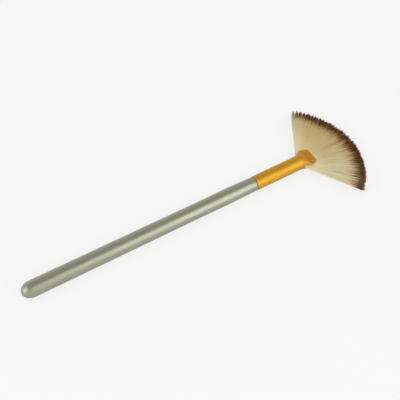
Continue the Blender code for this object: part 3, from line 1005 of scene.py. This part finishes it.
@dataclass
class Tuft:
    """All the bristles: bound and set at their root, turned out by the pressed mouth, spread in one fan.

    A place round the fan is given from -1 on the near side to 1 on the far side. What shortens or lengthens a
    strand is a share of its reach from the fan's centre. The locks make teeth at the rim. They are wider and
    deeper towards the far side, and the last of them is a thin wisp. The lower layers fill the gaps that the
    upper layer's teeth leave, less so at the near corner, where the locks are gathered less.
    """

    axis: BrushAxis
    layers: tuple[str, ...] = ("bristles_lower", "bristles_middle", "bristles_upper")
    strands: int = 1750
    edge_seed: int = 7
    lock_seed: int = 8
    strand_seed: int = 100
    root_depth: float = 18.0 * MM
    root_radius: float = 2.84 * MM
    root_out: Range = (0.01, 0.11)  # the share of the way out, for the UV map
    tied_radius: float = 2.58 * MM
    tie_place: float = 7.5 * MM
    tie_reach: float = 1.4 * MM
    throat_leave: float = 2.9 * MM  # how long the throat's curve keeps to its start
    throat_arrive: float = 0.9 * MM  # and to its end
    throat_stations: tuple[float, ...] = (0.4, 0.7, 1.0)
    throat_out: Range = (0.1, 0.17)  # the same along the throat
    centre_to_lip: float = 9.5 * MM
    half_angle: float = math.radians(59.7)
    arc_radius: float = 6.02 * MM
    hair_out: float = 24.5 * MM
    corner_extra: float = 2.3 * MM  # how much further the fan reaches at its corners
    middle_short: float = 0.6 * MM
    middle_over: float = 0.5
    mouth_height: float = 0.57 * MM
    tip_height: float = 0.8 * MM
    rim_thinning: float = 0.5
    thickness: float = 0.085 * MM
    root_thickness: float = 0.055 * MM
    tip_thickness: float = 0.03 * MM
    stations: tuple[float, ...] = (0.12, 0.36, 0.6, 0.78, 0.88, 0.96, 1.0)  # from the mouth to the tips
    stoutness: tuple[float, ...] = (1.0, 1.0, 1.0, 0.95, 0.9, 0.8, 0.0)  # the thickness at each
    lock_width: float = 0.05
    lock_uneven: Range = (0.55, 1.45)
    lock_blur: float = 0.002  # how far strands stray into the next lock
    wide_lock: float = 1.35
    wide_from: float = 0.5
    wide_over: float = 0.2
    wisp_from: float = 0.935
    wisp_share: float = 0.65
    wisp_short: Range = (0.04, 0.16)
    gather: Range = (0.0, 0.45)  # the least and the most that a lock is drawn together
    gather_from: float = 0.7
    gather_over: float = 0.3
    tooth: float = 0.031  # how much shorter a strand is at the side of its lock
    wide_tooth: float = 0.075
    tooth_uneven: Range = (0.4, 1.3)
    tooth_slant: float = 1.1  # the power that shapes a tooth, 1 for straight sides
    lag: float = 0.014  # the most that a whole lock is shorter
    wide_lag: float = 0.026
    stretch: float = 0.01  # what makes up for the lag and the teeth
    wide_stretch: float = 0.038
    uneven: float = 0.012  # the most that a single strand is shorter
    broken_share: float = 0.1
    broken_short: float = 0.06
    corner_from: float = -0.75
    corner_over: float = 0.15
    corner_calm: float = 0.75  # how much less a lock is gathered at the near corner
    corner_whole: float = 0.15  # how much shallower its teeth are
    corner_open: float = 0.6  # how much less the lower layers fill
    filled_share: tuple[float, ...] = (1.0, 0.7, 0.0)  # of each layer, from the lowest
    filled_to: float = 0.75
    filled_over: float = 0.2
    filled_short: float = 0.011
    filled_calm: float = 0.7  # how much less a filling strand strays
    stray: float = 0.3  # in degrees
    lift: float = 0.06
    golden: float = 0.618034  # spreads neighbours over the tuft's height
    height_jitter: float = 0.15
    spot_jitter: float = 0.0015
    spot_ends: Range = (0.002, 0.998)
    spot_width: float = 0.0004

    def reach(self, angle: np.ndarray) -> np.ndarray:
        """The distance from the fan's centre to the outline of its tips."""
        return self.centre_to_lip + self.hair_out + self.corner_extra * (angle / self.half_angle) ** 2

    def wide(self, across: np.ndarray | float) -> np.ndarray | float:
        """How far a place round the fan is on the side of the wide locks, from 0 to 1."""
        return ease((across - self.wide_from) / self.wide_over)

    def fullness(self, across: np.ndarray) -> np.ndarray:
        """The share of its full height that the fan has at a place round it."""
        return 1 - self.rim_thinning * across**2

    def lock_edges(self) -> np.ndarray:
        """Places where the rim's locks part.

        Returns:
            The places from -1 to 1 round the fan.
        """
        rng = np.random.default_rng(self.edge_seed)
        edges = [-1.0]
        while edges[-1] < self.wisp_from:
            width = self.lock_width * between(1, self.wide_lock, float(self.wide(edges[-1])))
            edges.append(edges[-1] + width * rng.uniform(*self.lock_uneven))
        edges[-1] = self.wisp_from
        return np.array([*edges, 1.0])

    def deal(self, layer: int) -> Strands:
        """Deals out the strands of one layer to their places and locks.

        Args:
            layer: Which layer, from the lowest.

        Returns:
            The strands.
        """
        rng = np.random.default_rng(self.strand_seed + layer)
        count, edges = self.strands, self.lock_edges()
        across = np.clip(2 * (np.arange(count) + rng.random(count)) / count - 1, -1, 1)
        heights = (self.golden * np.arange(count) + self.height_jitter * rng.random(count)) % 1
        level = -1 + 2 / len(self.layers) * (layer + heights)
        angle = across * self.half_angle

        blurred = across + rng.normal(0, self.lock_blur, count)
        lock = np.clip(np.searchsorted(edges, blurred) - 1, 0, len(edges) - 2)
        middle, half = 0.5 * (edges[1:] + edges[:-1])[lock], 0.5 * (edges[1:] - edges[:-1])[lock]
        off = np.clip(np.abs(across - middle) / half, 0, 1)
        shared = np.random.default_rng(self.lock_seed)
        pull = shared.uniform(*self.gather, len(edges))[lock]
        bite = shared.uniform(*self.tooth_uneven, len(edges))[lock]
        lag = shared.random(len(edges))[lock]

        wide = self.wide(across)
        corner = np.clip((self.corner_from - across) / self.corner_over, 0, 1)
        filled = self.filled_share[layer] * np.clip((self.filled_to - across) / self.filled_over, 0, 1)
        filled *= 1 - self.corner_open * corner
        pull = pull * (1 - self.corner_calm * corner) * (1 - filled)
        bite = between(self.tooth, self.wide_tooth, wide) * bite
        bite = bite * (1 - self.corner_whole * corner) * (1 - filled)
        lag = between(self.lag, self.wide_lag, wide) * lag
        stretch = between(self.stretch, self.wide_stretch, wide)

        thinned = (across > self.wisp_from) & (rng.random(count) < self.wisp_share)
        short = np.where(thinned, rng.uniform(*self.wisp_short, count), 0.0)
        short += np.where(rng.random(count) < self.broken_share, self.broken_short * rng.random(count), 0.0)
        short += self.filled_short * filled
        reach = self.reach(angle) - self.middle_short * np.clip((1 - np.abs(across)) / self.middle_over, 0, 1)
        reach *= 1 + stretch - bite * off**self.tooth_slant - lag - short - self.uneven * rng.random(count)
        stray = np.radians(rng.normal(0, self.stray, count)) * (1 - self.filled_calm * filled)
        lift = rng.normal(0, self.lift, count)
        spot = np.clip((across + 1) / 2 + rng.normal(0, self.spot_jitter, count), *self.spot_ends)
        return Strands(across, angle, level, middle * self.half_angle, pull, reach, stray, lift, spot)

    def lead_root(self, course: Course, strands: Strands) -> None:
        """Leads the strands through the round root and the tie, where they fill a disc.

        Args:
            course: The course, which gets its first stations.
            strands: The strands.
        """
        round_y = strands.across * np.sqrt(1 - 0.5 * strands.level**2)
        round_z = strands.level * np.sqrt(1 - 0.5 * strands.across**2)
        tie = -self.root_depth + self.tie_place
        for x, radius in (
            (-self.root_depth, self.root_radius),
            (tie - self.tie_reach, self.root_radius),
            (tie, self.tied_radius),
            (tie + self.tie_reach, self.root_radius),
        ):
            out = between(*self.root_out, x / self.root_depth + 1)
            course.add(x, radius * round_y, radius * round_z, self.root_thickness, out)

    def lead_throat(self, course: Course, strands: Strands) -> None:
        """Leads the strands from the root to the arc in the pressed mouth where the fan starts.

        Args:
            course: The course, which gets the stations of a smooth cubic curve.
            strands: The strands.
        """
        cos, sin = np.cos(strands.angle), np.sin(strands.angle)
        high = strands.level * self.mouth_height * self.fullness(strands.across)
        arc = np.stack([-self.centre_to_lip + self.arc_radius * cos, self.arc_radius * sin, high], 1)
        start = course.points[-1]
        leave = start + np.array([self.throat_leave, 0, 0])
        arrive = arc - self.throat_arrive * np.stack([cos, sin, 0 * cos], 1)
        for t in self.throat_stations:
            s = 1 - t
            curve = s**3 * start + 3 * s**2 * t * leave + 3 * s * t * t * arrive + t**3 * arc
            course.add(*curve.T, self.root_thickness, between(*self.throat_out, t))

    def lead_fan(self, course: Course, strands: Strands) -> None:
        """Leads the strands out across the fan, gathers them to their locks and lets them stray.

        Args:
            course: The course, which gets its last stations.
            strands: The strands.
        """
        for share, stout in zip(self.stations, self.stoutness):
            radius = between(self.arc_radius, strands.reach, share)
            gathered = strands.pull * ease((share - self.gather_from) / self.gather_over)
            turned = between(strands.angle, strands.middle, gathered) + strands.stray * share**2
            tall = between(self.mouth_height, self.tip_height, share)
            course.add(
                -self.centre_to_lip + radius * np.cos(turned),
                radius * np.sin(turned),
                (strands.level + strands.lift * share * share) * tall * self.fullness(strands.across),
                between(self.tip_thickness, self.thickness, stout),
                radius / self.reach(strands.angle),
            )

    def sides(self, points: np.ndarray, thickness: np.ndarray, face_up: float) -> np.ndarray:
        """Places three corners round each strand at each of its points.

        Args:
            points: Each strand's points.
            thickness: Its thickness at each.
            face_up: 1 where the strands turn a flat upwards, or -1 downwards.

        Returns:
            The three corners at each point of each strand.
        """
        along = np.gradient(points, axis=1)
        along /= np.linalg.norm(along, axis=2, keepdims=True)
        side = np.cross(along, [0.0, 0.0, 1.0])
        side /= np.linalg.norm(side, axis=2, keepdims=True)
        up = np.cross(side, along)
        turns = [math.radians(a) for a in (30, 150, 270)]
        rings = [side * math.cos(a) + face_up * up * math.sin(a) for a in turns]
        return points[:, :, None] + 0.5 * thickness[:, :, None, None] * np.stack(rings, 2)

    def grow(self, layer: int) -> bmesh.types.BMesh:
        """Draws a small triangle out along each strand of one layer.

        Args:
            layer: Which layer, from the lowest.

        Returns:
            The strands, each closed, with their UV map.
        """
        strands, course = self.deal(layer), Course(self.strands)
        for lead in (self.lead_root, self.lead_throat, self.lead_fan):
            lead(course, strands)
        points, thickness, out = (np.stack(rows, 1) for rows in (course.points, course.thickness, course.out))
        rings = self.sides(points, thickness, 1.0 if layer else -1.0)
        shifts = self.spot_width * np.array([-1.0, 0.0, 1.0])
        bm = bmesh.new()
        strand = bm.faces.layers.int.new("strand")
        spot = bm.verts.layers.float_vector.new("spot")
        caps = []
        for k, ring in enumerate(rings[:, 0]):
            verts = [bm.verts.new(p) for p in ring]
            for vert, shift in zip(verts, shifts):
                vert[spot] = (strands.spot[k] + shift, out[k, 0], 0.0)
            cap = bm.faces.new(verts)
            cap[strand] = k
            caps.append(cap)
        for step in range(1, rings.shape[1]):
            caps = bmesh.ops.extrude_discrete_faces(bm, faces=caps)["faces"]
            for cap in caps:
                k = cap[strand]
                for vert, p, shift in zip(cap.verts, rings[k, step], shifts):
                    vert.co = p
                    vert[spot] = (strands.spot[k] + shift, out[k, step], 0.0)
        bmesh.ops.holes_fill(bm, edges=[e for e in bm.edges if e.is_boundary], sides=3)
        bmesh.ops.recalc_face_normals(bm, faces=bm.faces)
        uv = bm.loops.layers.uv.new(BAKE_MAP)
        for face in bm.faces:
            for loop in face.loops:
                loop[uv].uv = loop.vert[spot][:2]
        return bm

    def build(self) -> list[bpy.types.Object]:
        """Builds and dresses the layers of the tuft.

        Returns:
            The layers, from the lowest.
        """
        made = []
        for layer, name in enumerate(self.layers):
            bm = self.grow(layer)
            bm.transform(self.axis.shift(self.axis.lip))
            piece = finish_mesh(name, bm, (Filament().material(float(layer)),), SMOOTH)
            made.append(settle(piece, Slot.BRISTLE, "bristle_fan", "bristle_root"))
        return made


@dataclass
class TuftTie:
    """The thread wound round the root of the tuft."""

    axis: BrushAxis
    thread_radius: float = 0.16 * MM
    inner_radius: float = 2.65 * MM
    turns: int = 4
    steps: int = 48
    thread_steps: int = 10
    sharp: float = 60.0

    def build(self) -> list[bpy.types.Object]:
        """Winds a round thread in a helix.

        Returns:
            The thread.
        """
        low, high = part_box("tuft_tie")
        bm = bmesh.new()
        across = Matrix.Rotation(0.5 * math.pi, 4, "Y") @ Matrix.Rotation(0.5 * math.pi, 4, "X")
        thread = {"segments": self.thread_steps, "radius": self.thread_radius}
        ring = bmesh.ops.create_circle(bm, cap_ends=True, matrix=across, **thread)["verts"]
        out = self.inner_radius + self.thread_radius
        bmesh.ops.translate(bm, verts=ring, vec=(self.thread_radius, 0, out))
        pitch = (high.x - low.x - 2 * self.thread_radius) / self.turns
        bmesh.ops.spin(
            bm,
            geom=bm.verts[:] + bm.edges[:] + bm.faces[:],
            cent=(0, 0, 0),
            axis=(1, 0, 0),
            dvec=(pitch / self.steps, 0, 0),
            angle=math.tau * self.turns,
            steps=self.steps * self.turns,
        )
        bmesh.ops.recalc_face_normals(bm, faces=bm.faces)
        bm.transform(self.axis.shift(low.x))
        made = finish_mesh("tie_winding", bm, (WaxedThread().material(),), self.sharp)
        return [settle(made, Slot.THREAD, "tuft_tie")]


@dataclass
class Adhesive:
    """The set epoxy round the tuft's root and the handle's tenon, as the CAD nodes that hold its shape."""

    nodes: tuple[str, ...] = ("root_glue", "tenon_glue")

    def build(self) -> list[bpy.types.Object]:
        """Dresses the two nodes.

        Returns:
            The nodes' objects.
        """
        epoxy = SetEpoxy().material()
        made = []
        for name in self.nodes:
            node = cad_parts[name]
            for slot in node.material_slots:
                slot.material = epoxy
            made.append(node)
        return made


WHITE: Rgb = (1.0, 1.0, 1.0)  # light, in linear shares
COOL_WHITE: Rgb = (0.975, 1.0, 1.0)
WARM_WHITE: Rgb = (1.0, 0.985, 0.95)


@dataclass
class Lamp:
    """One soft box, aimed at the brush."""

    name: str
    azimuth: float
    elevation: float
    distance: float
    width: float
    height: float
    watts: float
    colour: Rgb = WHITE

    def build(self) -> None:
        """Hangs the lamp."""
        light = bpy.data.lights.new(self.name, "AREA")
        light.shape, light.size, light.size_y = "RECTANGLE", self.width, self.height
        light.energy = self.watts
        light.color = self.colour
        lamp = bpy.data.objects.new(self.name, light)
        away = direction(self.azimuth, self.elevation)
        lamp.location = self.distance * away
        lamp.rotation_euler = away.to_track_quat("Z", "Y").to_euler()
        bpy.context.scene.collection.objects.link(lamp)


@dataclass
class Studio:
    """A pale floor, soft light and the photograph's camera."""

    paper: Rgb = (247, 247, 247)
    paper_roughness: float = 0.9
    paper_own_light: float = 0.85
    paper_mirrored_light: float = 0.3
    floor_size: float = 6.0
    sky_low: float = 1.0
    sky_high: float = 0.46
    sky_from: float = 0.3  # how far up a direction points where the sky starts to dim
    sky_colour: Rgb = WARM_WHITE
    elevation: float = 51.26
    turn: float = 31.02
    distance: float = 420 * MM
    film: float = 36.0  # in millimetres, as the lens is
    lens: float = 79.36
    clip: Range = (0.01, 50.0)
    target: tuple[float, float, float] = (4.014 * MM, 4.828 * MM, 3.95 * MM)
    lamps: tuple[Lamp, ...] = (
        Lamp(
            "key_box", azimuth=-59, elevation=33, distance=0.85,
            width=0.56, height=0.94, watts=3.35, colour=COOL_WHITE,
        ),
        Lamp("butt_box", azimuth=176, elevation=26, distance=0.75, width=0.56, height=0.6, watts=2.1),
    )

    def camera(self) -> None:
        """Sets the camera where the photograph was taken from."""
        data = bpy.data.cameras.new("photo_camera")
        data.sensor_width, data.lens = self.film, self.lens
        data.clip_start, data.clip_end = self.clip
        camera = bpy.data.objects.new("photo_camera", data)
        back = -direction(90 - self.turn, -self.elevation)
        camera.location = Vector(self.target) + self.distance * back
        camera.rotation_euler = back.to_track_quat("Z", "Y").to_euler()
        bpy.context.scene.collection.objects.link(camera)
        bpy.context.scene.camera = camera

    def floor(self) -> None:
        """Lays the paper, which the camera and the metal see partly in its own tone, under a soft shadow."""
        bm = bmesh.new()
        bmesh.ops.create_grid(bm, x_segments=2, y_segments=2, size=0.5 * self.floor_size)
        recipe = Recipe("studio_paper", roughness=self.paper_roughness, specular_ior_level=0.0)
        recipe.shader.inputs["Base Color"].default_value = linear(self.paper)
        glow = recipe.put("Emission", {"Color": linear(self.paper)})
        rays = ("Is Camera Ray", "Is Glossy Ray", "Is Transmission Ray")
        seen, *mirrored = (recipe.put("LightPath", {}, output=ray) for ray in rays)
        seen = recipe.reckon("MULTIPLY", seen, self.paper_own_light)
        mirrored = recipe.reckon("MULTIPLY", recipe.reckon("MAXIMUM", *mirrored), self.paper_mirrored_light)
        share = recipe.reckon("MAXIMUM", mirrored, seen)
        mixed = recipe.put("MixShader", {0: share, 1: recipe.shader.outputs[0], 2: glow})
        recipe.surface(mixed, "Material Output")
        paper = finish_mesh("studio_floor", bm, (recipe.material,), SMOOTH)

    def sky(self) -> None:
        """Lights the room evenly, a little less from above, and shows the camera the paper's tone."""
        world = bpy.data.worlds.new("studio_room")
        world.use_nodes = True
        bpy.context.scene.world = world
        nodes = Nodes(world.node_tree)
        up = nodes.put("SeparateXYZ", {0: nodes.put("TexCoord", {}, output="Generated")}, output="Z")
        sockets = {"Value": up, "From Min": self.sky_from, "To Min": self.sky_low, "To Max": self.sky_high}
        level = nodes.put("MapRange", sockets)
        room = nodes.put("Background", {"Color": (*self.sky_colour, 1.0), "Strength": level})
        seen = nodes.put("Background", {"Color": linear(self.paper)})
        camera = nodes.put("LightPath", {}, output="Is Camera Ray")
        nodes.surface(nodes.put("MixShader", {0: camera, 1: room, 2: seen}), "World Output")

    def build(self) -> None:
        """Sets up the camera, the floor, the room and the lamps."""
        self.camera()
        self.floor()
        self.sky()
        for lamp in self.lamps:
            lamp.build()
        bpy.context.scene.view_settings.view_transform = "Standard"


def main() -> None:
    """Builds the studio and the brush."""
    logging.basicConfig(level=logging.INFO, format="%(name)s: %(message)s")
    Studio().build()
    axis = BrushAxis()
    for part in (Handle(axis), Ferrule(axis), Tuft(axis), TuftTie(axis), Adhesive()):
        for piece in part.build():
            LOG.info("%s: %d faces", piece.name, len(piece.data.polygons))


if __name__ == "__main__":
    main()
